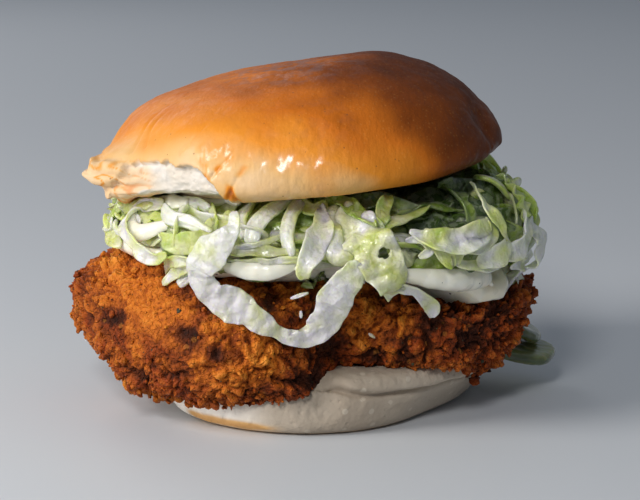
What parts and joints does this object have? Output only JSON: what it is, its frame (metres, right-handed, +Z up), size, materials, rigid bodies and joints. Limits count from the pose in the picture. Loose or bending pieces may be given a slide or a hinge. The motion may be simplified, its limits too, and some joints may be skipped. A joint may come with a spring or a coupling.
{
  "type": "fried chicken burger",
  "caption": "Fried chicken fillet with pickles, mayonnaise and shredded lettuce in a soft glossy round bun, torn at one corner.",
  "frame": {"origin": "below the middle of the whole burger, on the surface that it stands on", "axes": "+Z up, -Y towards the served front, +X to the right of that front"},
  "size_m": [0.1334, 0.1066, 0.0934],
  "materials": {
    "bun_crust": "glossy egg-washed crust",
    "bun_crumb": "matte soft bread",
    "fried_coating": "craggy fried coating",
    "mayonnaise": "glossy and smooth",
    "lettuce": "crisp, waxy and translucent",
    "pickle": "wet and translucent"
  },
  "bodies": {
    "root": {"bun_crown": "bun_crust", "bun_heel": "bun_crumb", "pickle_slice_low": "pickle", "pickle_slice_high": "pickle", "chicken_fillet": "fried_coating", "mayonnaise": "mayonnaise", "shredded_lettuce": "lettuce"}
  },
  "joints": []
}
